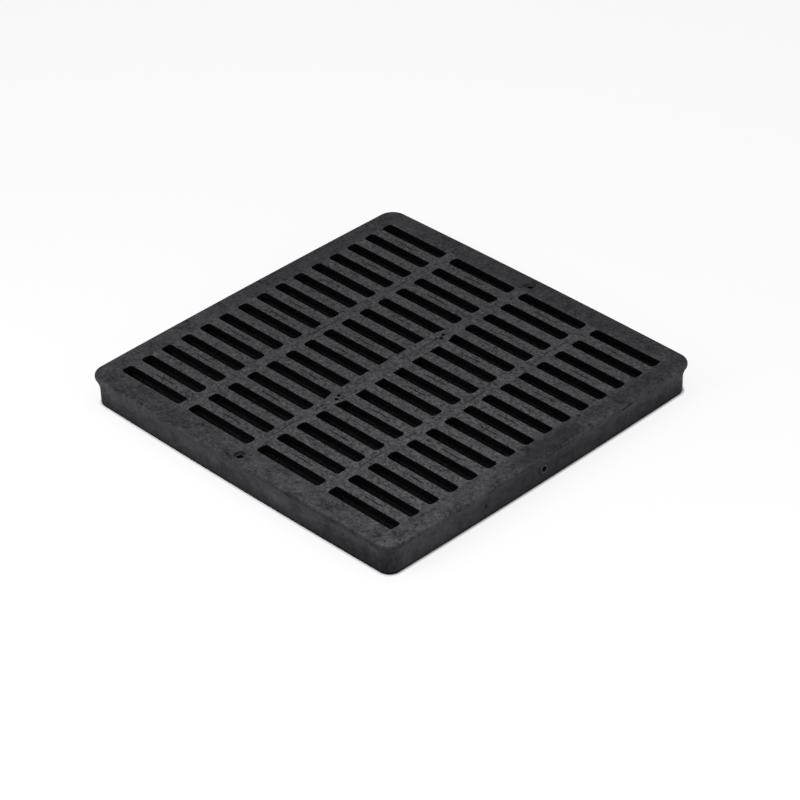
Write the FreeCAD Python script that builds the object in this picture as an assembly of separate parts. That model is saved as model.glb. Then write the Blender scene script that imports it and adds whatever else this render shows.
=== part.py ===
import FreeCAD, Part
import math
import os

from FreeCAD import Vector

# Square gully grate, moulded in one piece: a slotted top plate on deep tapering ribs,
# inside a skirt that drops into the frame of the gully.
# Millimetres. The origin is the centre of the skirt's bottom rim, +Z points up,
# the slots run along X and are stepped along Y.

# Overall form
side = 300.0
height = 25.0
corner_radius = 16.5

# Outer edge, from the top down: rounded edge, straight nose, undercut cove, plain skirt
top_edge_radius = 2.2
nose_end_depth = 2.5
under_nose_radius = 3.0
skirt_inset = 3.1
skirt_start_depth = 14.0

# Hidden side: top plate, skirt wall and the drafted ribs that carry the plate
plate_thickness = 6.0
skirt_wall = 6.5
skirt_draft = 1.5
rib_recess = 3.0
rib_draft = 4.0

# Slots: four bands of fifteen, with a plain web between two bands
bands = 4
slots_in_band = 15
slot_width = 9.0
slot_corner_radius = 2.4
web_width = 9.2
end_margin = 16.8
side_margin = 19.0

# Name field in the middle web, left bare; it ends in a taper beside the next slot
field_width = 13.8
field_slots_each_way = 3

# Two screw holes, one in the middle of each long margin
screw_edge_distance = 8.7
screw_hole_diameter = 4.8
screw_sink_diameter = 8.0
screw_sink_depth = 3.0
boss_diameter = 13.0

# Worked out from the sizes above
half = side / 2
edge_band = (corner_radius + max(top_edge_radius, skirt_inset)) / 2
plate_underside = height - plate_thickness
rib_flank = math.tan(math.radians(rib_draft))
slot_length = (side - 2 * end_margin - (bands - 1) * web_width) / bands
band_pitch = slot_length + web_width
slot_pitch = (side - 2 * side_margin - slot_width) / (slots_in_band - 1)
bar_width = slot_pitch - slot_width
skirt_outer = half - skirt_inset
skirt_inner = skirt_outer - skirt_wall
screw_y = half - screw_edge_distance


def rounded_rectangle(x0, x1, y0, y1, radius, z):
    """Flat closed wire round x0..x1, y0..y1 at height z, with four equal corner arcs."""
    corners = [
        (x1 - radius, y0 + radius, 270),
        (x1 - radius, y1 - radius, 0),
        (x0 + radius, y1 - radius, 90),
        (x0 + radius, y0 + radius, 180),
    ]
    arcs = [
        Part.makeCircle(radius, Vector(x, y, z), Vector(0, 0, 1), start, start + 90)
        for x, y, start in corners
    ]
    edges = []
    for arc, following in zip(arcs, arcs[1:] + arcs[:1]):
        end = arc.valueAt(arc.LastParameter)
        edges += [arc, Part.makeLine(end, following.valueAt(following.FirstParameter))]
    return Part.Wire(edges)


def edge_profile():
    """Outline of the outer edge on the plane y = 0, closed back through the top plate."""
    # The cove turns back through the same angle as the curve under the nose
    drop = skirt_start_depth - nose_end_depth
    turn = 2 * math.atan(skirt_inset / drop)
    cove_radius = drop / math.sin(turn) - under_nose_radius

    def at(inset, depth):
        return Vector(half - inset, 0, height - depth)

    def arc(inset, depth, radius, angle):
        """Middle or end of an arc round (inset, depth), angle measured down from the outward side."""
        return at(inset - radius * math.cos(angle), depth + radius * math.sin(angle))

    top_end = at(top_edge_radius, 0)
    top_middle = arc(top_edge_radius, top_edge_radius, top_edge_radius, -math.pi / 4)
    nose_start = at(0, top_edge_radius)
    nose_end = at(0, nose_end_depth)
    under_middle = arc(under_nose_radius, nose_end_depth, under_nose_radius, turn / 2)
    under_end = arc(under_nose_radius, nose_end_depth, under_nose_radius, turn)
    cove_centre = skirt_inset - cove_radius
    cove_middle = arc(cove_centre, skirt_start_depth, -cove_radius, turn / 2)
    cove_end = at(skirt_inset, skirt_start_depth)
    skirt_end = at(skirt_inset, height)
    edges = [
        Part.Arc(top_end, top_middle, nose_start).toShape(),
        Part.makeLine(nose_start, nose_end),
        Part.Arc(nose_end, under_middle, under_end).toShape(),
        Part.Arc(under_end, cove_middle, cove_end).toShape(),
        Part.makeLine(cove_end, skirt_end),
        Part.makeLine(skirt_end, at(edge_band, height)),
        Part.makeLine(at(edge_band, height), at(edge_band, 0)),
        Part.makeLine(at(edge_band, 0), top_end),
    ]
    return Part.Wire(edges)


def outer_block():
    """Solid block with the moulded edge: the profile swept round the rounded square, then filled."""
    path = rounded_rectangle(-half, half, -half, half, corner_radius, height)
    ring = path.makePipeShell([edge_profile()], True, False)
    core = half - edge_band
    middle = Part.Face(rounded_rectangle(-core, core, -core, core, corner_radius - edge_band, 0))
    return ring.fuse(middle.extrude(Vector(0, 0, height))).removeSplitter()


def steps(count, pitch):
    """Centres of count places at one pitch, spread evenly about zero."""
    return [(i - (count - 1) / 2) * pitch for i in range(count)]


def slot(x, y):
    """Straight slot through the top plate."""
    x0 = x - slot_length / 2
    y0 = y - slot_width / 2
    outline = rounded_rectangle(
        x0, x0 + slot_length, y0, y0 + slot_width, slot_corner_radius, plate_underside
    )
    return Part.Face(outline).extrude(Vector(0, 0, plate_thickness))


def slots():
    """Every slot, those beside the name field shortened to its outline."""
    rows = steps(slots_in_band, slot_pitch)
    tools = [slot(x, y) for x in steps(bands, band_pitch) for y in rows]
    return Part.Compound(tools).cut(name_field())


def name_field():
    """Bare plate in the middle web, full width past its slots and tapered beside the next one."""
    full_y = field_slots_each_way * slot_pitch - slot_width / 2
    taper_y = full_y + slot_width
    wide = field_width / 2
    narrow = web_width / 2
    corners = [(wide, full_y), (narrow, taper_y), (-narrow, taper_y), (-wide, full_y)]
    ring = corners + [(-x, -y) for x, y in corners]
    outline = Part.makePolygon([Vector(x, y, plate_underside) for x, y in ring + ring[:1]])
    return Part.Face(outline).extrude(Vector(0, 0, plate_thickness))


def skirt_inside():
    """Space inside the skirt up to the top plate; the wall thickens upward with its draft."""
    top = skirt_inner - plate_underside * math.tan(math.radians(skirt_draft))
    radius = corner_radius - skirt_inset - skirt_wall
    top_radius = radius - skirt_inner + top
    bottom = rounded_rectangle(-skirt_inner, skirt_inner, -skirt_inner, skirt_inner, radius, 0)
    ceiling = rounded_rectangle(-top, top, -top, top, top_radius, plate_underside)
    return Part.makeLoft([bottom, ceiling], True, True)


def rib(width):
    """Rib along X under the plate, of this width at its root and thinner at its foot."""
    root = width / 2
    foot = root - (plate_underside - rib_recess) * rib_flank
    section = [(-root, plate_underside), (root, plate_underside), (foot, rib_recess), (-foot, rib_recess)]
    outline = Part.makePolygon([Vector(-skirt_outer, y, z) for y, z in section + section[:1]])
    return Part.Face(outline).extrude(Vector(2 * skirt_outer, 0, 0))


def ribs():
    """One rib under each bar and, across them, one under each web."""
    placed = []
    for y in steps(slots_in_band - 1, slot_pitch):
        bar = rib(bar_width)
        bar.translate(Vector(0, y, 0))
        placed.append(bar)
    for x in steps(bands - 1, band_pitch):
        web = rib(web_width)
        web.rotate(Vector(0, 0, 0), Vector(0, 0, 1), 90)
        web.translate(Vector(x, 0, 0))
        placed.append(web)
    return placed


def screw_boss(y):
    """Round boss for a screw, from the plate down to the foot of the ribs."""
    return Part.makeCylinder(boss_diameter / 2, plate_underside - rib_recess, Vector(0, y, rib_recess))


def screw_hole(y):
    """Sink for the screw's head and the hole through the boss, turned as one shape."""
    hole = screw_hole_diameter / 2
    sink = screw_sink_diameter / 2
    outline = [
        (0, 0),
        (hole, 0),
        (hole, height - screw_sink_depth),
        (sink, height - screw_sink_depth),
        (sink, height),
        (0, height),
    ]
    face = Part.Face(Part.makePolygon([Vector(r, 0, z) for r, z in outline + outline[:1]]))
    turned = face.revolve(Vector(0, 0, 0), Vector(0, 0, 1), 360)
    turned.translate(Vector(0, y, 0))
    return turned


def grate():
    """The whole moulding: edge and skirt, plate and ribs, slots, screw bosses and their holes."""
    screws = (-screw_y, screw_y)
    hollow = skirt_inside().cut(ribs() + [screw_boss(y) for y in screws])
    body = outer_block().cut([hollow, slots()])
    return body.cut([screw_hole(y) for y in screws]).removeSplitter()


os.makedirs("parts", exist_ok=True)
moulding = grate()
litres = moulding.Volume / 1e6
print("solids", len(moulding.Solids), "valid", moulding.isValid(), "litres", round(litres, 3))
moulding.Solids[0].exportStep("parts/grate.step")
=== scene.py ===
# %% [markdown]
# # A gully grate in black foamed plastic
#
# The real object is one injection moulding: a square plate with four bands of slots, a soft rolled
# edge, and a skirt that drops into the frame of the gully. The CAD model already has its sizes and
# its collision shape. This lesson builds the surface that people see: every edge gets the small
# rounding that a mould gives, and the plastic gets its grain.
#
# The frame comes first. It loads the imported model, so that whatever is built here stands in the
# same place and at the same size as the CAD.

# %% Load the frame
import math

import bpy
import numpy as np
from mathutils import Matrix, Vector


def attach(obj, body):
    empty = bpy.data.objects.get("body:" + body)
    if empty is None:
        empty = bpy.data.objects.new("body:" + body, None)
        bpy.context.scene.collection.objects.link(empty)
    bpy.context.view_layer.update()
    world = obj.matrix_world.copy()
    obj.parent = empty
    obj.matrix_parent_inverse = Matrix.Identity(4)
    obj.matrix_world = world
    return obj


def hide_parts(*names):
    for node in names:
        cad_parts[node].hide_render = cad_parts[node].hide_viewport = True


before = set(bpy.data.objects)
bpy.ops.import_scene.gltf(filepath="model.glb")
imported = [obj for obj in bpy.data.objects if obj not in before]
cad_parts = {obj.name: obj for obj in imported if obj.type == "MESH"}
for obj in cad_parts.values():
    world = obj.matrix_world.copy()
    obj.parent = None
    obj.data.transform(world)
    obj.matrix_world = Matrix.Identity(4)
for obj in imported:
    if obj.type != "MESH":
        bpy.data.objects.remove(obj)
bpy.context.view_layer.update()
print("CAD nodes:", sorted(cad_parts))

# %% [markdown]
# ## Sizes
#
# A mould maker thinks in millimetres, and so do the shapes below. They become metres only when
# points go into a Blender mesh. Bare numbers in formulas are hard to change later, so each size
# gets a name, and the ones that follow from others are worked out.

# %% Sizes of the moulding, in millimetres
MM = 0.001
half = 150.0
height = 25.0
corner_radius = 12.0
side_crown = 1.3
top_edge_radius = 2.2
nose_end_depth = 2.5
under_nose_radius = 3.0
skirt_inset = 3.1
skirt_start_depth = 14.0
skirt_wall = 6.5
plate_underside = 19.0
rib_foot = 3.0

# %% Sizes of the slots, in millimetres
bands = 4
rows = 15
slot_width = 9.0
slot_corner = 2.4
web_width = 9.2
slot_length = (2 * half - 2 * 16.8 - (bands - 1) * web_width) / bands
band_pitch = slot_length + web_width
slot_pitch = (2 * half - 2 * 19.0 - slot_width) / (rows - 1)
screw_y = half - 8.7
print("slot length", round(slot_length, 2), "band pitch", round(band_pitch, 2))
print("slot pitch", round(slot_pitch, 3), "bar", round(slot_pitch - slot_width, 3))

# %% [markdown]
# ## Loops and lofts
#
# Almost everything on this part is a rounded rectangle that changes a little with height: the
# outside, the slots, the pockets between the ribs. A cube with a Bevel modifier could give one of
# them, but sixty slots with soft top edges and drafted walls need exact numbers. So one function
# lays out rounded rectangles, a whole stack at once, and another joins a stack into a closed skin.

# %% A stack of rounded rectangles
def rounded_loops(x0, x1, y0, y1, radii, z, steps=7):
    """Closed loops, anticlockwise from above, shaped (stacks, levels, points, 3).
    A corner point is the corner's centre plus its radius times (cos a, sin a), with a running
    over a quarter turn. Radii come in the order (x1,y0), (x1,y1), (x0,y1), (x0,y0)."""
    x0, x1, y0, y1, z = np.broadcast_arrays(x0, x1, y0, y1, z)
    radii = np.broadcast_to(radii, x0.shape + (4,))
    start = np.radians([270.0, 0.0, 90.0, 180.0])
    angle = start[:, None] + np.linspace(0.0, math.pi / 2, steps + 1)
    centre_x = np.stack([x1, x1, x0, x0], -1) + radii * np.array([-1, -1, 1, 1])
    centre_y = np.stack([y0, y1, y1, y0], -1) + radii * np.array([1, -1, -1, 1])
    x = centre_x[..., None] + radii[..., None] * np.cos(angle)
    y = centre_y[..., None] + radii[..., None] * np.sin(angle)
    points = np.stack([x, y, np.broadcast_to(z[..., None, None], x.shape)], -1)
    return points.reshape(x0.shape + (4 * (steps + 1), 3))


# %% A stack of circles or arcs round an axis
def round_loops(radius, level, around=48, first=0.0, last=360.0):
    """Loops about the third axis: (radius cos a, radius sin a, level) for each level of one stack.
    A full turn leaves out its last point; a part turn is closed by its chord."""
    full = abs(last - first) >= 360.0
    angle = np.radians(np.linspace(first, last, around, endpoint=not full))
    radius = np.asarray(radius, float)[:, None]
    level = np.broadcast_to(np.asarray(level, float)[:, None], (len(radius), around))
    return np.stack([radius * np.cos(angle), radius * np.sin(angle), level], -1)[None]


# %% Join stacks of loops into closed skins
def closed_skin(loops):
    """Each point joins its neighbour and the two points above them in a quad. The first and the
    last loop of a stack become its lids, so the skin has no hole and faces outwards."""
    stacks, levels, around = loops.shape[:3]
    index = np.arange(stacks * levels * around).reshape(stacks, levels, around)
    here = index[:, :-1]
    above = index[:, 1:]
    quads = np.stack([here, np.roll(here, -1, 2), np.roll(above, -1, 2), above], -1)
    lids = np.concatenate([index[:, 0, ::-1], index[:, -1]])
    return loops.reshape(-1, 3), quads.reshape(-1, 4).tolist() + lids.tolist()


# %% Put points and faces into a Blender object
def new_piece(name, points, faces):
    mesh = bpy.data.meshes.new(name)
    mesh.from_pydata((np.asarray(points) * MM).tolist(), [], faces)
    mesh.update()
    piece = bpy.data.objects.new(name, mesh)
    bpy.context.scene.collection.objects.link(piece)
    print("made", name, "with", len(mesh.vertices), "points and", len(mesh.polygons), "faces")
    return piece


# %% [markdown]
# ## The outer edge, from the rim up to the top
#
# Seen from the side the edge has a soft roll at the top, a short straight nose, a curve under the
# nose that swings back into a hollow, and then the plain skirt. The rim at the bottom is slightly
# rounded on both sides. Stacking bevels would not give the hollow, so the edge is a profile: a row
# of (inset, height) pairs made of circle arcs. Carrying it round the rounded square is only a
# matter of shrinking the square by the inset at each level.
#
# Seen from above, the photograph shows that the sides are not quite straight: they are crowned by
# a good millimetre, and the corners are tighter than straight sides would suggest. The CAD part
# keeps straight sides with larger corners, which come to the same reach. Here the sides get extra
# points, and every point moves inward with the square of its distance from the side's middle.

# %% Arcs of the edge profile
def arc(inset, level, radius, first, last, steps):
    """Points inset - radius cos a, level - radius sin a, for a from first to last in degrees."""
    angle = np.radians(np.linspace(first, last, steps + 1))
    return np.stack([inset - radius * np.cos(angle), level - radius * np.sin(angle)], -1)


# %% The whole profile, from the space inside the rim to the top plate
drop = skirt_start_depth - nose_end_depth
turn = 2 * math.degrees(math.atan(skirt_inset / drop))
cove_radius = drop / math.sin(math.radians(turn)) - under_nose_radius
wall_draft = math.tan(math.radians(1.5))
rim_outer_radius = 1.3
rim_inner_radius = 0.8
inner_inset = skirt_inset + skirt_wall
outer_rim = skirt_inset + rim_outer_radius
inner_rim = inner_inset - rim_inner_radius
profile = np.concatenate([
    [[inner_inset + rib_foot * wall_draft, rib_foot]],
    arc(inner_rim, rim_inner_radius, rim_inner_radius, 180, 90, 4),
    arc(outer_rim, rim_outer_radius, rim_outer_radius, 90, 0, 5),
    arc(skirt_inset - cove_radius, height - skirt_start_depth, -cove_radius, 0, turn, 8),
    arc(under_nose_radius, height - nose_end_depth, under_nose_radius, turn, 0, 6)[1:],
    arc(top_edge_radius, height - top_edge_radius, top_edge_radius, 0, -90, 9),
])
print("hollow radius", round(cove_radius, 2), "turning through", round(turn, 1), "degrees")

# %% Carry the profile round the square
inset = profile[:, 0]
corner_steps = 20
side_points = 23
blank_loops = rounded_loops(
    inset - half, half - inset, inset - half, half - inset,
    (corner_radius - inset)[:, None], profile[:, 1], steps=corner_steps,
)

# %% Give the sides points of their own and crown them
quarters = blank_loops.reshape(len(inset), 4, corner_steps + 1, 3)
side_start = quarters[:, :, -1:]
side_end = np.roll(quarters, -1, 1)[:, :, :1]
share_along = np.linspace(0.0, 1.0, side_points + 2)[1:-1, None]
sides_of_loops = side_start + (side_end - side_start) * share_along
blank_loops = np.concatenate([quarters, sides_of_loops], 2).reshape(len(inset), -1, 3)
crowned = np.clip((inner_rim - inset) / (inner_rim - outer_rim), 0.0, 1.0)
crown = (side_crown / half * crowned)[:, None, None]
across_square = (blank_loops[..., 1::-1] / half) ** 2
blank_loops[..., :2] = blank_loops[..., :2] * (1.0 - crown * across_square)
print("crowned sides stand back at the corners by", side_crown, "mm")
grate = new_piece("gully_grate", *closed_skin(blank_loops[None]))

# %% [markdown]
# ## Slots above, pockets below
#
# Under the plate there is a rib below every bar and every web, thinner at its foot so that the
# moulding leaves the tool. The easy way to make ribs is to add them, but then their faces lie in
# the same planes as the slot walls, and Boolean operations on shared planes leave splinters.
# So the ribs are what remains: one closed form per slot starts below the ribs, rises through a
# drafted pocket with rounded corners, closes in to the slot's outline at the plate, and leaves
# through the top with a small flare, which becomes the soft edge of the slot.

# %% The outline that each slot has in the plate
band_x = (np.arange(bands) - (bands - 1) / 2) * band_pitch
row_y = (np.arange(rows) - (rows - 1) / 2) * slot_pitch
band, row = [grid.ravel() for grid in np.meshgrid(np.arange(bands), np.arange(rows), indexing="ij")]
slot_box = np.stack([
    band_x[band] - slot_length / 2, band_x[band] + slot_length / 2,
    row_y[row] - slot_width / 2, row_y[row] + slot_width / 2,
], -1)

# %% Shorten the slots beside the bare name field
field_half = 6.9
web_half = web_width / 2
from_middle = np.abs(row - rows // 2)
beside_field = ((band == 1) | (band == 2)) & (from_middle <= 3)
slanted = beside_field & (from_middle == 3)
field_end = np.where(slanted, (field_half + web_half) / 2, field_half)
slot_box[:, 1] = np.where(beside_field & (band == 1), -field_end, slot_box[:, 1])
slot_box[:, 0] = np.where(beside_field & (band == 2), field_end, slot_box[:, 0])
slant = (field_half - web_half) / slot_width
print("slots:", len(slot_box), "beside the name field:", int(beside_field.sum()))

# %% The pocket under each slot, where ribs and skirt bound it
# The skirt's side of a pocket stands this much inside the wall below, as a tool's insert does
insert_step = 0.15
skirt_inner = half - inner_inset
pocket_box = np.stack([
    band_x[band] - slot_length / 2, band_x[band] + slot_length / 2,
    row_y[row] - slot_width / 2, row_y[row] + slot_width / 2,
], -1)
at_skirt = np.stack([band == 0, band == bands - 1, row == 0, row == rows - 1], -1)
outward = np.array([-1.0, 1.0, -1.0, 1.0])

# %% How a pocket and slot change with height
# Columns: height, how far the rib walls stand back, how far walls under the plate close in,
# and whether the outline is already the slot's
foot_radius = 0.6
ceiling_radius = 1.2
slot_edge_radius = 0.5
quarter = np.radians(np.linspace(0.0, 90.0, 5))
rib_draft = math.tan(math.radians(4.0))


def level_rows(z, back, closing, in_plate):
    """One row per height: (height, wall set-back, closing-in under the plate, in the plate)."""
    columns = np.broadcast_arrays(z, back, closing, in_plate)
    return np.stack([np.asarray(column, float) for column in columns], -1)


foot_z = rib_foot - 0.02 + foot_radius * (1 - np.cos(quarter))
foot_back = foot_radius * (1 - np.sin(quarter)) + (plate_underside - foot_z) * rib_draft
ceiling_z = plate_underside - ceiling_radius * (1 - np.sin(quarter))
edge_z = height + 0.015 - slot_edge_radius * (1 - np.sin(quarter))
flare = slot_edge_radius * (1 - np.cos(quarter))
levels = np.concatenate([
    level_rows([rib_foot - 1.0], [foot_back[0] + 0.1], 0.0, 0.0),
    level_rows(foot_z, foot_back, 0.0, 0.0),
    level_rows(ceiling_z, (plate_underside - ceiling_z) * rib_draft,
               ceiling_radius * (1 - np.cos(quarter)), 0.0),
    level_rows([plate_underside + 0.02], 0.0, 0.0, 1.0),
    level_rows(edge_z, flare, 0.0, 1.0),
    level_rows([height + 1.0], [flare[-1] + 0.02], 0.0, 1.0),
])
level_z, set_back, closing_in, in_plate = levels.T
print("levels in one pocket and slot:", len(levels))

# %% Work out the four sides of every pocket and slot at every level
ends_early = np.abs(slot_box - pocket_box) > 1e-6
under_plate = at_skirt | ends_early & ~slanted[:, None]
wall_line = skirt_inner - insert_step - level_z * wall_draft
rib_side = pocket_box[:, None, :] + outward * set_back[:, None]
skirt_side = np.broadcast_to(outward * wall_line[:, None], rib_side.shape)
below = np.where(at_skirt[:, None, :], skirt_side, rib_side)
below = below - outward * closing_in[:, None] * under_plate[:, None, :]
in_slot = slot_box[:, None, :] + outward * set_back[:, None]
sides = np.where(in_plate[:, None] > 0.5, in_slot, below)

# %% Corner radii, which grow as a wall stands back so that the corner stays round
corner_sides = np.array([[1, 2], [1, 3], [0, 3], [0, 2]])
at_corner = under_plate[:, corner_sides]
skirt_corner = at_skirt[:, corner_sides].all(-1)
square_corner = ends_early[:, corner_sides].any(-1)
tight_radius = 0.35
slot_radius = np.where(square_corner, tight_radius, slot_corner)
pocket_radius = np.where(skirt_corner, corner_radius - inner_inset + 0.4, slot_radius)
in_plate_column = in_plate[None, :, None]
corner_radii = np.where(in_plate_column > 0.5, slot_radius[:, None], pocket_radius[:, None])
corner_radii = corner_radii + set_back[None, :, None] * ~skirt_corner[:, None]
print("corners that meet the skirt:", int(skirt_corner.sum()))

# %% Lay out the loops and slant the two slots at each end of the name field
tool_loops = rounded_loops(
    sides[..., 0], sides[..., 1], sides[..., 2], sides[..., 3], corner_radii, level_z[None, :],
)
towards_middle = np.where(band == 1, 1.0, -1.0)[:, None, None]
row_side = np.sign(row_y[row])[:, None, None]
across = (tool_loops[..., 1] - row_y[row][:, None, None]) * row_side
near_field = np.abs(tool_loops[..., 0]) < 0.5 * (field_half + web_half) + 2.0
shift = slant * across * towards_middle * near_field * in_plate[None, :, None]
tool_loops[..., 0] += np.where(slanted[:, None, None], shift, 0.0)
pockets = new_piece("pocket_tool", *closed_skin(tool_loops))

# %% [markdown]
# ## Screw bosses and screw holes
#
# The two screws in the long margins press on the plate, so each has a round boss below. A
# cylinder would poke through the skirt, so the boss's loops are flattened where the wall is.
# The hole is one turned form: a bore, a flat-bottomed sink for the head and, round its mouth, the
# very shallow dish that the plastic takes as it shrinks over the thick boss.

# %% A boss, flattened inside the skirt's wall
boss_radius = 6.5
boss_foot = 0.6
boss_z = np.concatenate([rib_foot + boss_foot * (1 - np.cos(quarter)), ceiling_z, [20.5]])
boss_r = np.concatenate([
    boss_radius - boss_foot * (1 - np.sin(quarter)),
    boss_radius + 0.25 + ceiling_radius * (1 - np.cos(quarter)),
    [boss_radius + 0.25 + ceiling_radius],
])
boss_loops = round_loops(boss_r, boss_z)


def beside_margin(loops, side):
    """Moves loops to the screw at this side (+1 or -1) and keeps their order round the axis."""
    placed = loops * np.array([side, side, 1.0])
    placed[..., 1] += side * screw_y
    return placed


bosses = np.concatenate([beside_margin(boss_loops, side) for side in (1, -1)])
bosses[..., 1] = np.clip(bosses[..., 1], -145.0, 145.0)
boss_tool = new_piece("boss_tool", *closed_skin(bosses))

# %% The turned form of a screw hole
hole_profile = np.array([
    [2.4, -1.0], [2.4, 21.7], [2.7, 22.0], [3.6, 22.0], [3.95, 22.15], [4.1, 22.5],
    [4.1, 24.05], [4.2, 24.3], [4.45, 24.45], [4.9, 24.56], [5.4, 24.74], [5.9, 24.93],
    [6.25, 25.02], [6.3, 26.0],
])
hole_loops = round_loops(hole_profile[:, 0], hole_profile[:, 1])
holes = np.concatenate([beside_margin(hole_loops, side) for side in (1, -1)])
hole_tool = new_piece("hole_tool", *closed_skin(holes))

# %% [markdown]
# ## Marks that the mould leaves
#
# Near the ends of the name field the tool's inserts leave two small round pits each, inside a
# faint ring. On the skirt, in the middle of one side, sits the gate: a low round pad with a
# raised ring and a pit where the sprue broke away. Painted marks would not catch the light, so
# all of them are real shapes. Pits and pad are turned forms, and the ring is a torus.

# %% Insert prints, two pits each
print_y = 51.0
pit_offset = np.array([1.05, -2.1, 0.0])
pin_profile = np.array([
    [0.9, 23.4], [1.15, 23.5], [1.3, 23.8], [1.4, 24.8], [1.55, 25.02], [1.6, 26.0],
])
pin = round_loops(pin_profile[:, 0], pin_profile[:, 1], 20)
print_middles = np.array([[0.4, side * print_y - 0.2, 0.0] for side in (1, -1)])
pins = np.concatenate([pin + middle + way * pit_offset for middle in print_middles for way in (1, -1)])
print_tool = new_piece("print_tool", *closed_skin(pins))

# %% The gate's pad and its pit, both turned about the X axis
gate_y = -2.0
gate_z = 11.4
gate_face = half - skirt_inset
pad_profile = np.array([
    [4.9, -1.0], [4.9, 0.25], [4.8, 0.4], [4.6, 0.45], [4.3, 0.45], [4.1, 0.35], [3.95, 0.1], [3.75, 0.1],
    [3.6, 0.4], [3.4, 0.7], [3.15, 0.8], [2.9, 0.7], [2.6, 0.45], [2.3, 0.4],
])


def about_gate(profile, around):
    """Loops about the Z axis, laid over so that their levels run outward along X from the face."""
    laid = round_loops(profile[:, 0], profile[:, 1], around)[..., [2, 0, 1]]
    return laid + [gate_face, gate_y, gate_z]


pad_tool = new_piece("gate_pad_tool", *closed_skin(about_gate(pad_profile, 48)))
pit_profile = np.array([[1.3, -2.2], [1.6, -2.0], [1.7, -0.5], [1.8, 0.2], [2.05, 0.45], [2.3, 1.0]])
pit_tool = new_piece("gate_pit_tool", *closed_skin(about_gate(pit_profile, 36)))


# %% The faint ring round each insert print, a torus
def torus(ring, tube, around=48, across=14):
    """Points ((ring + tube cos v) cos u, (ring + tube cos v) sin u, tube sin v), closed both ways."""
    u = np.radians(np.linspace(0.0, 360.0, around, endpoint=False))[:, None]
    v = np.radians(np.linspace(0.0, 360.0, across, endpoint=False))[None, :]
    wide = ring + tube * np.cos(v)
    points = np.stack([wide * np.cos(u), wide * np.sin(u), tube * np.sin(v) + 0 * u], -1)
    index = np.arange(around * across).reshape(around, across)
    ahead = np.roll(index, -1, 0)
    quads = np.stack([index, ahead, np.roll(ahead, -1, 1), np.roll(index, -1, 1)], -1)
    return points.reshape(-1, 3), quads.reshape(-1, 4).tolist()


ring_points, ring_faces = torus(4.4, 0.4)
ring_faces = np.array(ring_faces)
both_points = np.concatenate([ring_points + middle + [0.0, 0.0, height + 0.26] for middle in print_middles])
both_faces = np.concatenate([ring_faces, ring_faces + len(ring_points)])
ring_tool = new_piece("print_ring_tool", both_points, both_faces.tolist())

# %% [markdown]
# ## Cutting the blank
#
# Every tool above is a closed form, so the fast Manifold solver can combine them without
# leftovers. Each result is stored in the mesh at once: nothing later depends on a hidden helper
# object, and the helpers can go.

# %% Boolean steps, each one applied
def combine(body, tool, operation):
    step = body.modifiers.new(tool.name, "BOOLEAN")
    step.operation = operation
    step.solver = "MANIFOLD"
    step.object = tool
    bpy.context.view_layer.update()
    shown = body.evaluated_get(bpy.context.evaluated_depsgraph_get())
    shape = bpy.data.meshes.new_from_object(shown)
    body.modifiers.clear()
    body.data = shape
    tool_name = tool.name
    bpy.data.objects.remove(tool)
    print(operation.lower(), tool_name, "leaves", len(shape.polygons), "faces")


combine(grate, pockets, "DIFFERENCE")
combine(grate, boss_tool, "UNION")
combine(grate, hole_tool, "DIFFERENCE")
combine(grate, print_tool, "DIFFERENCE")
combine(grate, ring_tool, "DIFFERENCE")
combine(grate, pad_tool, "UNION")
combine(grate, pit_tool, "DIFFERENCE")
grate.data.name = "gully_grate"

# %% [markdown]
# ## Flat stays flat, round looks round
#
# Smooth shading blends the direction of light across an edge. On a cut plate that would smear
# shadows over the flat top. Two things stop it: edges that turn by more than a chosen angle are
# kept sharp, and Weighted Normal lets the largest face at a corner decide, so only the small
# rounding faces carry the blend.

# %% Smooth shading with sharp turns kept
sharp_turn = math.radians(38.0)
grate.data.polygons.foreach_set("use_smooth", np.ones(len(grate.data.polygons), bool))
grate.data.set_sharp_from_angle(angle=sharp_turn)
weighted = grate.modifiers.new("flat_faces_first", "WEIGHTED_NORMAL")
weighted.mode = "FACE_AREA"
weighted.weight = 50
weighted.keep_sharp = True

# %% Check that the skin is closed and count its triangles
edge_total = len(grate.data.edges)
use = np.zeros(edge_total, int)
loop_edges = np.zeros(len(grate.data.loops), int)
grate.data.loops.foreach_get("edge_index", loop_edges)
np.add.at(use, loop_edges, 1)
grate.data.calc_loop_triangles()
print("edges not shared by two faces:", int((use != 2).sum()), "of", edge_total)
print("triangles:", len(grate.data.loop_triangles))

# %% [markdown]
# ## Node helpers
#
# A material is a small program drawn as boxes and wires. Writing it out box by box hides the
# idea, so three helpers do the wiring: one adds a box, one joins a number or a wire to an input,
# and one writes arithmetic.

# %% Helpers for node trees
def join(tree, value, socket):
    if isinstance(value, bpy.types.NodeSocket):
        tree.links.new(value, socket)
    else:
        socket.default_value = value


def box(tree, kind, inputs=None, **settings):
    """Adds a node of this kind, sets its properties, and fills its named inputs."""
    node = tree.nodes.new(kind)
    for name, value in settings.items():
        setattr(node, name, value)
    for name, value in (inputs or {}).items():
        join(tree, value, node.inputs[name])
    return node


def calc(tree, operation, *values):
    """One Math node; its inputs are numbers or wires, in order."""
    node = tree.nodes.new("ShaderNodeMath")
    node.operation = operation
    for socket, value in zip(node.inputs, values):
        join(tree, value, socket)
    return node.outputs[0]


def fade(tree, value, start, end, low=0.0, high=1.0):
    """Smooth step: low where value is at start, high where it is at end."""
    node = box(tree, "ShaderNodeMapRange", interpolation_type="SMOOTHSTEP")
    for socket, number in zip(node.inputs, (value, start, end, low, high)):
        join(tree, number, socket)
    return node.outputs[0]


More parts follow.
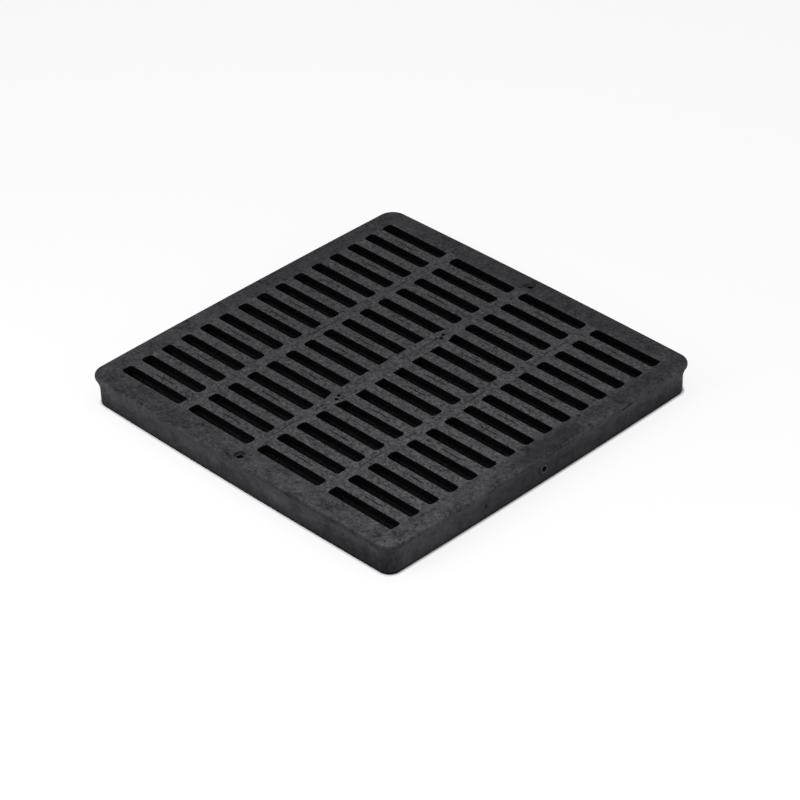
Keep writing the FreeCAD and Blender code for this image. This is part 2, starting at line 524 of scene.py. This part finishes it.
# %% A node group with named sockets
def new_group(name, inputs, outputs):
    tree = bpy.data.node_groups.new(name, "ShaderNodeTree")
    kinds = {"vector": "NodeSocketVector", "value": "NodeSocketFloat"}
    for socket_name, kind, default in inputs:
        socket = tree.interface.new_socket(socket_name, in_out="INPUT", socket_type=kinds[kind])
        socket.default_value = default
    for socket_name in outputs:
        tree.interface.new_socket(socket_name, in_out="OUTPUT", socket_type="NodeSocketFloat")
    start = tree.nodes.new("NodeGroupInput").outputs
    end = tree.nodes.new("NodeGroupOutput").inputs
    return tree, start, end


def use_group(tree, group, **values):
    node = tree.nodes.new("ShaderNodeGroup")
    node.node_tree = group
    for name, value in values.items():
        join(tree, value, node.inputs[name])
    return node.outputs


# %% [markdown]
# ## Grain and swirls of foamed plastic
#
# The plastic is blown with a little gas, and the bubbles that burst against the cold mould leave
# a fine silvery speckle, drawn out here and there into swirls. An image would repeat and blur, so
# both come from noise. The grain is a noise about a millimetre wide. The swirl is a broad noise
# whose coordinates are first pushed about by another noise, which bends it into streaks.

# %% Group: fine grain
# Noise keeps close to one half; this gain spreads a group's value evenly about zero
noise_gain = 8.0
grain_group, grain_in, grain_out = new_group(
    "foam_grain", [("Vector", "vector", (0, 0, 0)), ("Size", "value", 1.0)], ["Value"])
grain_scale = calc(grain_group, "DIVIDE", 1.0, grain_in["Size"])
fine = box(grain_group, "ShaderNodeTexNoise", {
    "Vector": grain_in["Vector"], "Scale": grain_scale, "Detail": 2.0, "Roughness": 0.65,
    "Distortion": 0.8})
spread = calc(grain_group, "SUBTRACT", fine.outputs[0], 0.5)
join(grain_group, calc(grain_group, "MULTIPLY", spread, noise_gain), grain_out["Value"])

# %% Group: swirls
swirl_group, swirl_in, swirl_out = new_group(
    "foam_swirl",
    [("Vector", "vector", (0, 0, 0)), ("Size", "value", 10.0), ("Twist", "value", 1.0)],
    ["Value"])
push = box(swirl_group, "ShaderNodeTexNoise", {
    "Vector": swirl_in["Vector"],
    "Scale": calc(swirl_group, "DIVIDE", 0.5, swirl_in["Size"]), "Detail": 1.0})
push_middle = box(swirl_group, "ShaderNodeVectorMath", operation="SUBTRACT")
join(swirl_group, push.outputs["Color"], push_middle.inputs[0])
join(swirl_group, (0.5, 0.5, 0.5), push_middle.inputs[1])
push_far = box(swirl_group, "ShaderNodeVectorMath", operation="SCALE")
join(swirl_group, push_middle.outputs[0], push_far.inputs[0])
reach = calc(swirl_group, "MULTIPLY", swirl_in["Size"], swirl_in["Twist"])
join(swirl_group, reach, push_far.inputs["Scale"])
bent = box(swirl_group, "ShaderNodeVectorMath", operation="ADD")
join(swirl_group, swirl_in["Vector"], bent.inputs[0])
join(swirl_group, push_far.outputs[0], bent.inputs[1])
streaks = box(swirl_group, "ShaderNodeTexNoise", {
    "Vector": bent.outputs[0], "Scale": calc(swirl_group, "DIVIDE", 1.0, swirl_in["Size"]),
    "Detail": 5.0, "Roughness": 0.6, "Distortion": 0.6})
swirl_spread = calc(swirl_group, "SUBTRACT", streaks.outputs[0], 0.5)
join(swirl_group, calc(swirl_group, "MULTIPLY", swirl_spread, noise_gain), swirl_out["Value"])

# %% [markdown]
# ## Flow marks and knit lines
#
# Two streams of melt meet in the middle of each bar and leave a thin dark dash, and along the
# webs they leave a wandering crease. The marks follow the slots' own spacing, so their place is
# worked out from position: the remainder after dividing by the pitch tells how far a point is
# from the middle of its bar.

# %% Group: a repeated distance
spacing_group, spacing_in, spacing_out = new_group(
    "distance_to_repeat",
    [("Position", "value", 0.0), ("Pitch", "value", 1.0), ("Start", "value", 0.0)],
    ["Distance"])
moved = calc(spacing_group, "SUBTRACT", spacing_in["Position"], spacing_in["Start"])
counted = calc(spacing_group, "DIVIDE", moved, spacing_in["Pitch"])
nearest = calc(spacing_group, "ROUND", counted)
apart = calc(spacing_group, "SUBTRACT", counted, nearest)
join(spacing_group, calc(spacing_group, "MULTIPLY", apart, spacing_in["Pitch"]),
     spacing_out["Distance"])

# %% Group: dashes on the bars and creases on the webs
marks_group, marks_in, marks_out = new_group(
    "flow_marks", [("Vector", "vector", (0, 0, 0))], ["Dashes", "Creases"])
parts = box(marks_group, "ShaderNodeSeparateXYZ", {"Vector": marks_in["Vector"]})
mark_x = parts.outputs[0]
mark_y = parts.outputs[1]
wander = box(marks_group, "ShaderNodeTexNoise", {
    "Vector": marks_in["Vector"], "Scale": 0.14, "Detail": 3.0})
sway = calc(marks_group, "MULTIPLY", calc(marks_group, "SUBTRACT", wander.outputs[0], 0.5), 3.4)
broken = box(marks_group, "ShaderNodeTexNoise", {
    "Vector": marks_in["Vector"], "Scale": 0.45, "Detail": 2.0})
from_bar = use_group(marks_group, spacing_group, Position=mark_y, Pitch=slot_pitch,
                     Start=slot_pitch / 2)[0]
from_band = use_group(marks_group, spacing_group, Position=mark_x, Pitch=band_pitch,
                      Start=band_pitch / 2)[0]
off_dash = calc(marks_group, "ABSOLUTE", calc(marks_group, "ADD", from_bar, sway))
along_dash = calc(marks_group, "ABSOLUTE", calc(marks_group, "ADD", from_band, sway))
thin = fade(marks_group, off_dash, 0.9, 0.35)
short = fade(marks_group, along_dash, 10.0, 7.5)
gaps = fade(marks_group, broken.outputs[0], 0.3, 0.44)
bar_number = calc(marks_group, "FLOOR", calc(
    marks_group, "DIVIDE", calc(marks_group, "ABSOLUTE", mark_y), slot_pitch))
every_other = calc(marks_group, "MULTIPLY", calc(marks_group, "MODULO", bar_number, 2.0), -0.75)
dash_strength = calc(marks_group, "ADD", every_other, 1.0)
dashes = calc(marks_group, "MULTIPLY", calc(marks_group, "MULTIPLY", thin, short), gaps)
join(marks_group, calc(marks_group, "MULTIPLY", dashes, dash_strength), marks_out["Dashes"])

# %% The creases of the same group
from_web = use_group(marks_group, spacing_group, Position=mark_x, Pitch=band_pitch, Start=0.0)[0]
off_crease = calc(marks_group, "ABSOLUTE", calc(marks_group, "ADD", from_web, sway))
crease_line = fade(marks_group, off_crease, 0.7, 0.2)
stretch = box(marks_group, "ShaderNodeTexNoise", {
    "Vector": marks_in["Vector"], "Scale": 0.035, "Detail": 1.0})
in_stretch = fade(marks_group, stretch.outputs[0], 0.48, 0.58)
in_web = calc(
    marks_group, "MULTIPLY",
    fade(marks_group, calc(marks_group, "ABSOLUTE", mark_x), 100.0, 96.0),
    fade(marks_group, calc(marks_group, "ABSOLUTE", mark_y), 133.0, 130.0))
creases = calc(marks_group, "MULTIPLY", calc(marks_group, "MULTIPLY", crease_line, in_stretch),
               in_web)
join(marks_group, creases, marks_out["Creases"])

# %% Group: a soft-edged spot, for single blemishes
spot_group, spot_in, spot_out = new_group(
    "spot",
    [("Vector", "vector", (0, 0, 0)), ("Place", "vector", (0, 0, 0)),
     ("Reach", "vector", (1, 1, 1)), ("Ragged", "value", 0.5), ("Core", "value", 0.75)],
    ["Mask"])
offset = box(spot_group, "ShaderNodeVectorMath", operation="SUBTRACT")
join(spot_group, spot_in["Vector"], offset.inputs[0])
join(spot_group, spot_in["Place"], offset.inputs[1])
shares = box(spot_group, "ShaderNodeVectorMath", operation="DIVIDE")
join(spot_group, offset.outputs[0], shares.inputs[0])
join(spot_group, spot_in["Reach"], shares.inputs[1])
far = box(spot_group, "ShaderNodeVectorMath", operation="LENGTH")
join(spot_group, shares.outputs[0], far.inputs[0])
ragged = box(spot_group, "ShaderNodeTexNoise", {
    "Vector": spot_in["Vector"], "Scale": 0.35, "Detail": 3.0})
rough_edge = calc(spot_group, "MULTIPLY", calc(spot_group, "SUBTRACT", ragged.outputs[0], 0.5),
                  spot_in["Ragged"])
spot_far = calc(spot_group, "ADD", far.outputs["Value"], calc(
    spot_group, "MULTIPLY", rough_edge, 2.0))
join(spot_group, fade(spot_group, spot_far, 1.15, spot_in["Core"]), spot_out["Mask"])
print("node groups:", sorted(group.name for group in bpy.data.node_groups))

# %% [markdown]
# ## The plastic
#
# One material covers the part. Its colour is a very dark grey whose lightness the grain and the
# swirls move up and down. The outer margins cooled faster and show softer, broader swirls, and
# the bars a finer speckle, so a mask of the distance from the middle blends the two. Inside the
# slots and holes and at the skirt's foot the colour carries painted shade, and patches of painted
# light and painted shade lighten or darken parts of the top and the skirt. The same patterns feed
# the bump and the roughness, so that what looks like a pore also catches the light like one.

# %% Positions in millimetres, and masks of where things are
plastic = bpy.data.materials.new("black_foam_plastic")
plastic.use_nodes = True
tree = plastic.node_tree
tree.nodes.clear()
object_place = box(tree, "ShaderNodeTexCoord").outputs["Object"]
place = box(tree, "ShaderNodeMapping", {
    "Vector": object_place, "Scale": (1 / MM, 1 / MM, 1 / MM)}).outputs[0]
axes = box(tree, "ShaderNodeSeparateXYZ", {"Vector": place})
place_x, place_y, place_z = axes.outputs[0], axes.outputs[1], axes.outputs[2]
out_x = calc(tree, "ABSOLUTE", place_x)
out_y = calc(tree, "ABSOLUTE", place_y)
on_margin = calc(tree, "MAXIMUM", fade(tree, out_x, 131.0, 136.0), fade(tree, out_y, 129.0, 134.0))
on_top = fade(tree, place_z, 24.3, 24.8)
past_x = calc(tree, "MAXIMUM", calc(tree, "SUBTRACT", out_x, half - corner_radius), 0.0)
past_y = calc(tree, "MAXIMUM", calc(tree, "SUBTRACT", out_y, half - corner_radius), 0.0)
past_both = calc(tree, "SQRT", calc(tree, "ADD", calc(tree, "MULTIPLY", past_x, past_x),
                                    calc(tree, "MULTIPLY", past_y, past_y)))
at_edge = fade(tree, past_both, 5.0, 6.5)
on_skirt = calc(tree, "MULTIPLY", at_edge, fade(tree, place_z, 24.7, 23.2))

# %% Patterns used on the plastic
grain = use_group(tree, grain_group, Vector=place, Size=2.3)[0]
coarse_grain = use_group(tree, grain_group, Vector=place, Size=6.0)[0]
swirl = use_group(tree, swirl_group, Vector=place, Size=9.0, Twist=1.3)[0]
broad_swirl = use_group(tree, swirl_group, Vector=place, Size=26.0, Twist=0.9)[0]
dash, crease = [
    calc(tree, "MULTIPLY", mark, on_top) for mark in use_group(tree, marks_group, Vector=place)
]

# %% Spots and blemishes that the photograph shows
def spots(places, ragged, core):
    """The strongest of several spots, each given as its place and its reach in millimetres."""
    masks = [
        use_group(tree, spot_group, Vector=place, Place=where, Reach=size, Ragged=ragged, Core=core)[0]
        for where, size in places
    ]
    strongest = masks[0]
    for mask in masks[1:]:
        strongest = calc(tree, "MAXIMUM", strongest, mask)
    return strongest


patch = calc(tree, "MULTIPLY", spots([((144.0, 6.0, 25.0), (9.0, 36.0, 9.0))], 0.6, 0.7),
             fade(tree, place_z, 24.2, 24.8))
nick = spots([
    ((149.6, 80.2, 22.1), (2.5, 3.4, 1.4)),
    ((149.6, 75.0, 21.8), (2.5, 3.4, 1.1)),
    ((146.5, -57.0, 10.0), (2.0, 1.6, 2.2)),
    ((91.5, -148.6, 19.2), (3.2, 3.0, 1.9)),
], 0.6, 0.6)
scuff = spots([((149.6, 75.5, 23.6), (2.0, 6.5, 0.8))], 0.9, 0.5)
# Painted light on the top: the margins lighter towards the near corner, the bars towards +X
painted_light_near_corner = spots([((160.0, -140.0, 25.0), (150.0, 170.0, 60.0))], 0.0, 0.0)
painted_light_on_bars = spots([((150.0, -50.0, 25.0), (200.0, 230.0, 60.0))], 0.0, 0.0)
# Painted shade on the top: stretches of the outer margins darker
painted_shade_on_margins = spots([
    ((0.0, 143.0, 25.0), (185.0, 13.0, 12.0)),
    ((-90.0, -143.0, 25.0), (85.0, 13.0, 12.0)),
    ((-143.0, 60.0, 25.0), (13.0, 110.0, 12.0)),
    ((143.0, 105.0, 25.0), (13.0, 50.0, 12.0)),
], 0.5, 0.3)
# Painted shade just below the top edge, round the near corner and along the near side
painted_shade_under_edge = spots([
    ((150.0, -150.0, 23.7), (50.0, 42.0, 1.8)),
    ((75.0, -150.0, 23.7), (60.0, 4.0, 1.6)),
], 0.5, 0.6)
pale_wisps = spots([
    ((136.5, -42.0, 25.0), (4.0, 14.0, 4.0)),
    ((141.0, -90.0, 25.0), (4.0, 12.0, 4.0)),
    ((-95.0, -141.0, 25.0), (14.0, 3.5, 4.0)),
    ((-15.0, -138.0, 25.0), (20.0, 4.0, 4.0)),
    ((60.0, -141.0, 25.0), (14.0, 4.0, 4.0)),
], 1.2, 0.4)
# Painted shade on the skirt: darker in the middle of one side, at the near corner and low down
painted_shade_on_skirt = spots([
    ((147.0, 0.0, 12.0), (20.0, 85.0, 30.0)),
    ((125.0, -147.0, 4.0), (70.0, 20.0, 15.0)),
    ((148.0, -148.0, 14.0), (8.0, 8.0, 16.0)),
    ((147.0, 130.0, 2.0), (12.0, 55.0, 8.0)),
], 0.6, 0.2)
# Painted light on the skirt: lighter bands along the near side and one on the +X side
painted_light_on_skirt = spots([
    ((-130.0, -148.0, 19.0), (60.0, 12.0, 8.0)),
    ((-30.0, -147.0, 14.0), (45.0, 12.0, 7.0)),
    ((110.0, -148.0, 18.0), (38.0, 14.0, 9.0)),
    ((60.0, -147.0, 13.0), (40.0, 12.0, 6.0)),
    ((147.0, 112.0, 15.0), (12.0, 45.0, 8.0)),
], 0.7, 0.2)
# Painted light near the ends of the skirt's sides and on the top at the near corner
painted_light_near_ends = spots([
    ((147.0, -118.0, 11.0), (12.0, 50.0, 17.0)),
    ((142.0, -142.0, 25.0), (7.0, 7.0, 3.0)),
    ((106.0, -148.0, 13.0), (38.0, 9.0, 9.0)),
    ((-115.0, -148.0, 14.0), (24.0, 7.0, 5.0)),
], 0.5, 0.3)

# %% Lightness of the plastic, from the patterns
def share(bars_value, margin_value):
    """An amount that goes from its value on the bars to its value on the outer margins."""
    return fade(tree, on_margin, 0.0, 1.0, bars_value, margin_value)


# The skirt slid along smooth steel, so its grain is weak and its clouds are broad, and the patch
# beside the gate froze first and is smooth as well
smooth_skin = calc(tree, "MAXIMUM", on_skirt, patch)
grain_amount = calc(tree, "MULTIPLY", share(0.48, 0.28), fade(tree, smooth_skin, 0.0, 1.0, 1.0, 0.45))
cloud_amount = calc(tree, "MULTIPLY", share(0.04, 0.1), fade(tree, on_skirt, 0.0, 1.0, 1.0, 1.9))
lightness = calc(tree, "MULTIPLY_ADD", grain, grain_amount, share(1.0, 0.81))
lightness = calc(tree, "MULTIPLY_ADD", coarse_grain, 0.15, lightness)
lightness = calc(tree, "MULTIPLY_ADD", swirl, share(0.06, 0.16), lightness)
lightness = calc(tree, "MULTIPLY_ADD", broad_swirl, cloud_amount, lightness)

# %% Painted shade in deep places where hardly any light comes back
screw_far = calc(tree, "SUBTRACT", out_y, screw_y)
screw_range = calc(tree, "SQRT", calc(tree, "ADD", calc(tree, "MULTIPLY", place_x, place_x),
                                      calc(tree, "MULTIPLY", screw_far, screw_far)))
in_bore = calc(tree, "MULTIPLY", fade(tree, screw_range, 2.75, 2.5), fade(tree, place_z, 22.2, 21.7))
gate_range = calc(tree, "SQRT", calc(
    tree, "ADD", calc(tree, "POWER", calc(tree, "SUBTRACT", place_y, gate_y), 2.0),
    calc(tree, "POWER", calc(tree, "SUBTRACT", place_z, gate_z), 2.0)))
on_gate_side = fade(tree, place_x, 140.0, 142.0)
in_pit = calc(tree, "MULTIPLY", fade(tree, gate_range, 2.1, 1.8), on_gate_side)
# Painted shade in the groove round the gate's pad, and a painted highlight on its raised ring
gate_groove_painted_shade = calc(tree, "MULTIPLY", fade(tree, calc(tree, "ABSOLUTE", calc(
    tree, "SUBTRACT", gate_range, 3.9)), 0.5, 0.1), on_gate_side)
gate_ring_painted_highlight = calc(tree, "MULTIPLY", fade(tree, calc(tree, "ABSOLUTE", calc(
    tree, "SUBTRACT", gate_range, 3.1)), 0.6, 0.2), on_gate_side)
near_print = fade(tree, calc(tree, "ABSOLUTE", calc(tree, "SUBTRACT", out_y, print_y)), 5.0, 4.8)
in_pin = calc(tree, "MULTIPLY", fade(tree, place_z, 24.7, 24.2), calc(
    tree, "MULTIPLY", fade(tree, out_x, 4.4, 4.2), near_print))
deep_painted_shade = calc(tree, "MAXIMUM", calc(tree, "MAXIMUM", in_bore, in_pit), in_pin)

# %% Everything that lightens or darkens the plastic
# Painted shade on the slot walls: nearly black through the plate, a little less dark on the ribs, least
# near +X, and fading out towards the ribs' feet
in_slots = calc(tree, "MULTIPLY", fade(tree, out_x, 135.0, 134.0), fade(tree, out_y, 133.0, 132.0))
slot_wall = calc(tree, "MULTIPLY", calc(tree, "MULTIPLY", in_slots, fade(tree, place_z, 24.99, 24.75)),
                 fade(tree, place_z, 8.0, 15.0))
below_top = calc(tree, "MULTIPLY", at_edge, fade(tree, place_z, 24.95, 24.75))
rib_painted_shade = fade(tree, place_x, 118.0, 132.0, -0.76, -0.62)
slot_painted_shade = fade(tree, place_z, 18.5, 19.5, rib_painted_shade, -0.97)
# Painted light on the rounding of the top edge, stronger on the +X side
lip_painted_light = calc(tree, "MULTIPLY", at_edge, calc(
    tree, "MULTIPLY", fade(tree, place_z, 24.99, 24.8), fade(tree, place_z, 21.4, 22.6)))
# Painted shade: the skirt darker towards the bottom, and a painted shadow line along its rim
foot_painted_shade = calc(tree, "MULTIPLY", on_skirt, fade(tree, place_z, 12.0, 1.0))
rim_painted_shade = calc(tree, "MULTIPLY", on_skirt, fade(tree, place_z, 3.0, 1.2))
# Each mask multiplies the lightness by 1 plus its amount. Those for the slot walls, the foot, the rim, the
# lip, deep places, the gate's groove and ring, and the light and shade patches are painted light and
# painted shade
shades = [
    (dash, -0.86), (crease, -0.7), (patch, -0.44), (nick, -0.85), (scuff, 0.4),
    (slot_wall, slot_painted_shade),
    (foot_painted_shade, fade(tree, place_y, -144.0, -143.0, -0.52, -0.4)), (rim_painted_shade, -0.85),
    (lip_painted_light, fade(tree, place_x, 140.0, 146.0, 0.1, 0.25)), (on_skirt, 0.2),
    (deep_painted_shade, -0.93), (gate_groove_painted_shade, -0.6), (gate_ring_painted_highlight, 1.6),
    (calc(tree, "MULTIPLY", painted_shade_on_margins, on_top), -0.26),
    (calc(tree, "MULTIPLY", painted_shade_on_skirt, on_skirt), -0.3),
    (calc(tree, "MULTIPLY", painted_light_on_skirt, on_skirt), 0.37),
    (painted_light_near_ends, 0.22), (calc(tree, "MULTIPLY", painted_shade_under_edge, below_top), -0.34),
    (calc(tree, "MULTIPLY", pale_wisps, on_top), 0.25),
    (calc(tree, "MULTIPLY", painted_light_near_corner, on_top), share(0.0, 0.36)),
    (calc(tree, "MULTIPLY", painted_light_on_bars, on_top), share(0.31, 0.0)),
]
final_light = lightness
for mask, amount in shades:
    final_light = calc(tree, "MULTIPLY", final_light, calc(tree, "MULTIPLY_ADD", mask, amount, 1.0))
final_light = calc(tree, "MAXIMUM", final_light, 0.03)

# %% Colour: lightness times a dark, slightly cool grey, bluer on the skirt
bars_grey = (0.0457, 0.0449, 0.0485)
skirt_grey = (0.0462, 0.0436, 0.0516)
grey = box(tree, "ShaderNodeMix", data_type="VECTOR")
join(tree, calc(tree, "MAXIMUM", smooth_skin, share(0.0, 0.4)), grey.inputs[0])
join(tree, bars_grey, grey.inputs[4])
join(tree, skirt_grey, grey.inputs[5])
colour = box(tree, "ShaderNodeVectorMath", operation="SCALE")
join(tree, grey.outputs[1], colour.inputs[0])
join(tree, final_light, colour.inputs["Scale"])

# %% Roughness and relief
rough_part = calc(tree, "MULTIPLY_ADD", grain, 0.03, 0.56)
rough_part = calc(tree, "MULTIPLY_ADD", swirl, 0.03, rough_part)
roughness = calc(tree, "MULTIPLY_ADD", patch, -0.12, rough_part)
relief = calc(tree, "MULTIPLY_ADD", grain, 0.012, calc(tree, "MULTIPLY", swirl, 0.02))
relief = calc(tree, "MULTIPLY_ADD", broad_swirl, 0.04, relief)
relief = calc(tree, "MULTIPLY_ADD", calc(tree, "MAXIMUM", dash, crease), -0.12, relief)
bump = box(tree, "ShaderNodeBump", {"Height": relief, "Strength": 0.8, "Distance": MM})

# %% The shader
shader = box(tree, "ShaderNodeBsdfPrincipled", {
    "Base Color": colour.outputs[0], "Roughness": roughness, "Normal": bump.outputs[0]})
shader.inputs["Specular IOR Level"].default_value = 0.05
surface = box(tree, "ShaderNodeOutputMaterial")
join(tree, shader.outputs[0], surface.inputs["Surface"])
grate.data.materials.clear()
grate.data.materials.append(plastic)
print("plastic uses", len(tree.nodes), "nodes")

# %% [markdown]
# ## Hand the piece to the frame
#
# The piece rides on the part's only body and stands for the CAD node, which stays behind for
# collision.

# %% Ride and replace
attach(grate, "root")
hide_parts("grate")

# %% [markdown]
# ## Floor and surroundings
#
# The photograph is a cut-out on white. A lamp strong enough to burn a floor to white would also
# wash out the black plastic, so the camera sees a floor that is nearly white by itself, while
# every other ray meets a pale matt one. A share of real diffuse stays in what the camera sees,
# and that share carries the soft shadow.

# %% The floor
floor_half = 3000.0
floor_points = np.array([[-1, -1, 0], [1, -1, 0], [1, 1, 0], [-1, 1, 0]]) * floor_half
floor_points[:, 2] = -0.02
floor = new_piece("floor", floor_points, [[0, 1, 2, 3]])


# %% A white that only the camera and reflections see
def seen_directly(tree):
    """1 for camera, glossy and transmission rays, else 0."""
    ray = box(tree, "ShaderNodeLightPath").outputs
    direct = calc(tree, "MAXIMUM", ray["Is Camera Ray"], ray["Is Glossy Ray"])
    return calc(tree, "MAXIMUM", direct, ray["Is Transmission Ray"])


floor_paint = bpy.data.materials.new("pale_floor")
floor_paint.use_nodes = True
floor_tree = floor_paint.node_tree
floor_tree.nodes.clear()
shadow_share = 0.16
direct = seen_directly(floor_tree)
floor_grey = fade(floor_tree, direct, 0.0, 1.0, 0.2, 1.0)
matt = box(floor_tree, "ShaderNodeBsdfDiffuse")
floor_colour = box(floor_tree, "ShaderNodeCombineColor", {
    "Red": floor_grey, "Green": floor_grey, "Blue": floor_grey})
join(floor_tree, floor_colour.outputs[0], matt.inputs["Color"])
white = box(floor_tree, "ShaderNodeEmission", {"Color": (1, 1, 1, 1), "Strength": 1.0})
floor_place = box(floor_tree, "ShaderNodeSeparateXYZ", {
    "Vector": box(floor_tree, "ShaderNodeTexCoord").outputs["Object"]}).outputs
past_straight = [
    calc(floor_tree, "MAXIMUM", calc(floor_tree, "SUBTRACT", calc(
        floor_tree, "ABSOLUTE", floor_place[axis]), (half - corner_radius) * MM), 0.0)
    for axis in (0, 1)
]
far_out = calc(floor_tree, "SQRT", calc(
    floor_tree, "ADD", calc(floor_tree, "POWER", past_straight[0], 2.0),
    calc(floor_tree, "POWER", past_straight[1], 2.0)))
across_both = calc(floor_tree, "MULTIPLY", calc(
    floor_tree, "MULTIPLY", floor_place[0], floor_place[1]), 1.0 / (half * MM) ** 2)
stand_back = calc(floor_tree, "MULTIPLY", calc(
    floor_tree, "MULTIPLY", across_both, across_both), side_crown * MM)
far_out = calc(floor_tree, "ADD", far_out, stand_back)
skirt_line = corner_radius - skirt_inset
beside_part = fade(floor_tree, far_out, (skirt_line - 0.3) * MM, (skirt_line + 1.8) * MM)
white_share = calc(floor_tree, "MULTIPLY", calc(floor_tree, "MULTIPLY", direct, beside_part),
                   1.0 - shadow_share)
blend = box(floor_tree, "ShaderNodeMixShader")
join(floor_tree, white_share, blend.inputs[0])
join(floor_tree, matt.outputs[0], blend.inputs[1])
join(floor_tree, white.outputs[0], blend.inputs[2])
floor_end = box(floor_tree, "ShaderNodeOutputMaterial")
join(floor_tree, blend.outputs[0], floor_end.inputs["Surface"])
floor.data.materials.append(floor_paint)

# %% The world, white to the eye and softer as a light
sky_strength = 0.45
world = bpy.data.worlds.new("studio")
bpy.context.scene.world = world
world.use_nodes = True
sky_tree = world.node_tree
sky_tree.nodes.clear()
sky_level = fade(sky_tree, seen_directly(sky_tree), 0.0, 1.0, sky_strength, 1.0)
sky = box(sky_tree, "ShaderNodeBackground", {"Color": (1, 1, 1, 1), "Strength": sky_level})
sky_end = box(sky_tree, "ShaderNodeOutputWorld")
join(sky_tree, sky.outputs[0], sky_end.inputs["Surface"])

# %% [markdown]
# ## Lamps
#
# The bars are brighter towards the near corner than towards the far one, and the left side of
# the skirt is brighter than the right. Three soft lamps lean that way: a large one overhead lights
# the top, a nearer one on the left lights the left side, and a weak one on the right lifts the
# right side out of the dark. The world fills the rest, and painted light and painted shade in the
# plastic's colour do the remainder.

# %% Soft lamps
def soft_lamp(name, where, aim, size, watts):
    """A square area lamp at where, turned so that its light goes towards aim, both in metres."""
    light = bpy.data.lights.new(name, "AREA")
    light.shape = "SQUARE"
    light.size = size
    light.energy = watts
    lamp = bpy.data.objects.new(name, light)
    lamp.location = where
    direction = Vector(aim) - Vector(where)
    lamp.rotation_euler = direction.to_track_quat("-Z", "Y").to_euler()
    bpy.context.scene.collection.objects.link(lamp)
    return lamp


soft_lamp("top_lamp", (0.10, -0.05, 1.05), (0.0, 0.0, 0.02), 0.7, 2.2)
soft_lamp("key_lamp", (-0.12, -0.55, 0.5), (0.0, -0.05, 0.02), 0.4, 2.4)
soft_lamp("fill_lamp", (0.72, -0.02, 0.30), (0.1, 0.0, 0.01), 0.4, 1.35)

# %% [markdown]
# ## Camera
#
# The camera stands where the photographer's did. Its place, aim, tilt and lens were worked out by
# matching slot corners of the model with the same corners in the photograph.

# %% Place the camera
camera_place = Vector((1305.71, -1238.27, 1251.34)) * MM
camera_aim = Vector((33.83, -24.31, 24.91)) * MM
camera_tilt = math.radians(-1.937)
camera_data = bpy.data.cameras.new("camera")
camera_data.sensor_width = 36.0
camera_data.lens = 141.574
camera = bpy.data.objects.new("camera", camera_data)
camera.location = camera_place
facing = (camera_aim - camera_place).to_track_quat("-Z", "Y").to_matrix()
camera.rotation_euler = (facing @ Matrix.Rotation(camera_tilt, 3, "Z")).to_euler()
bpy.context.scene.collection.objects.link(camera)
bpy.context.scene.camera = camera
bpy.context.scene.view_settings.view_transform = "Standard"
print("camera distance", round((camera_aim - camera_place).length, 3), "m")
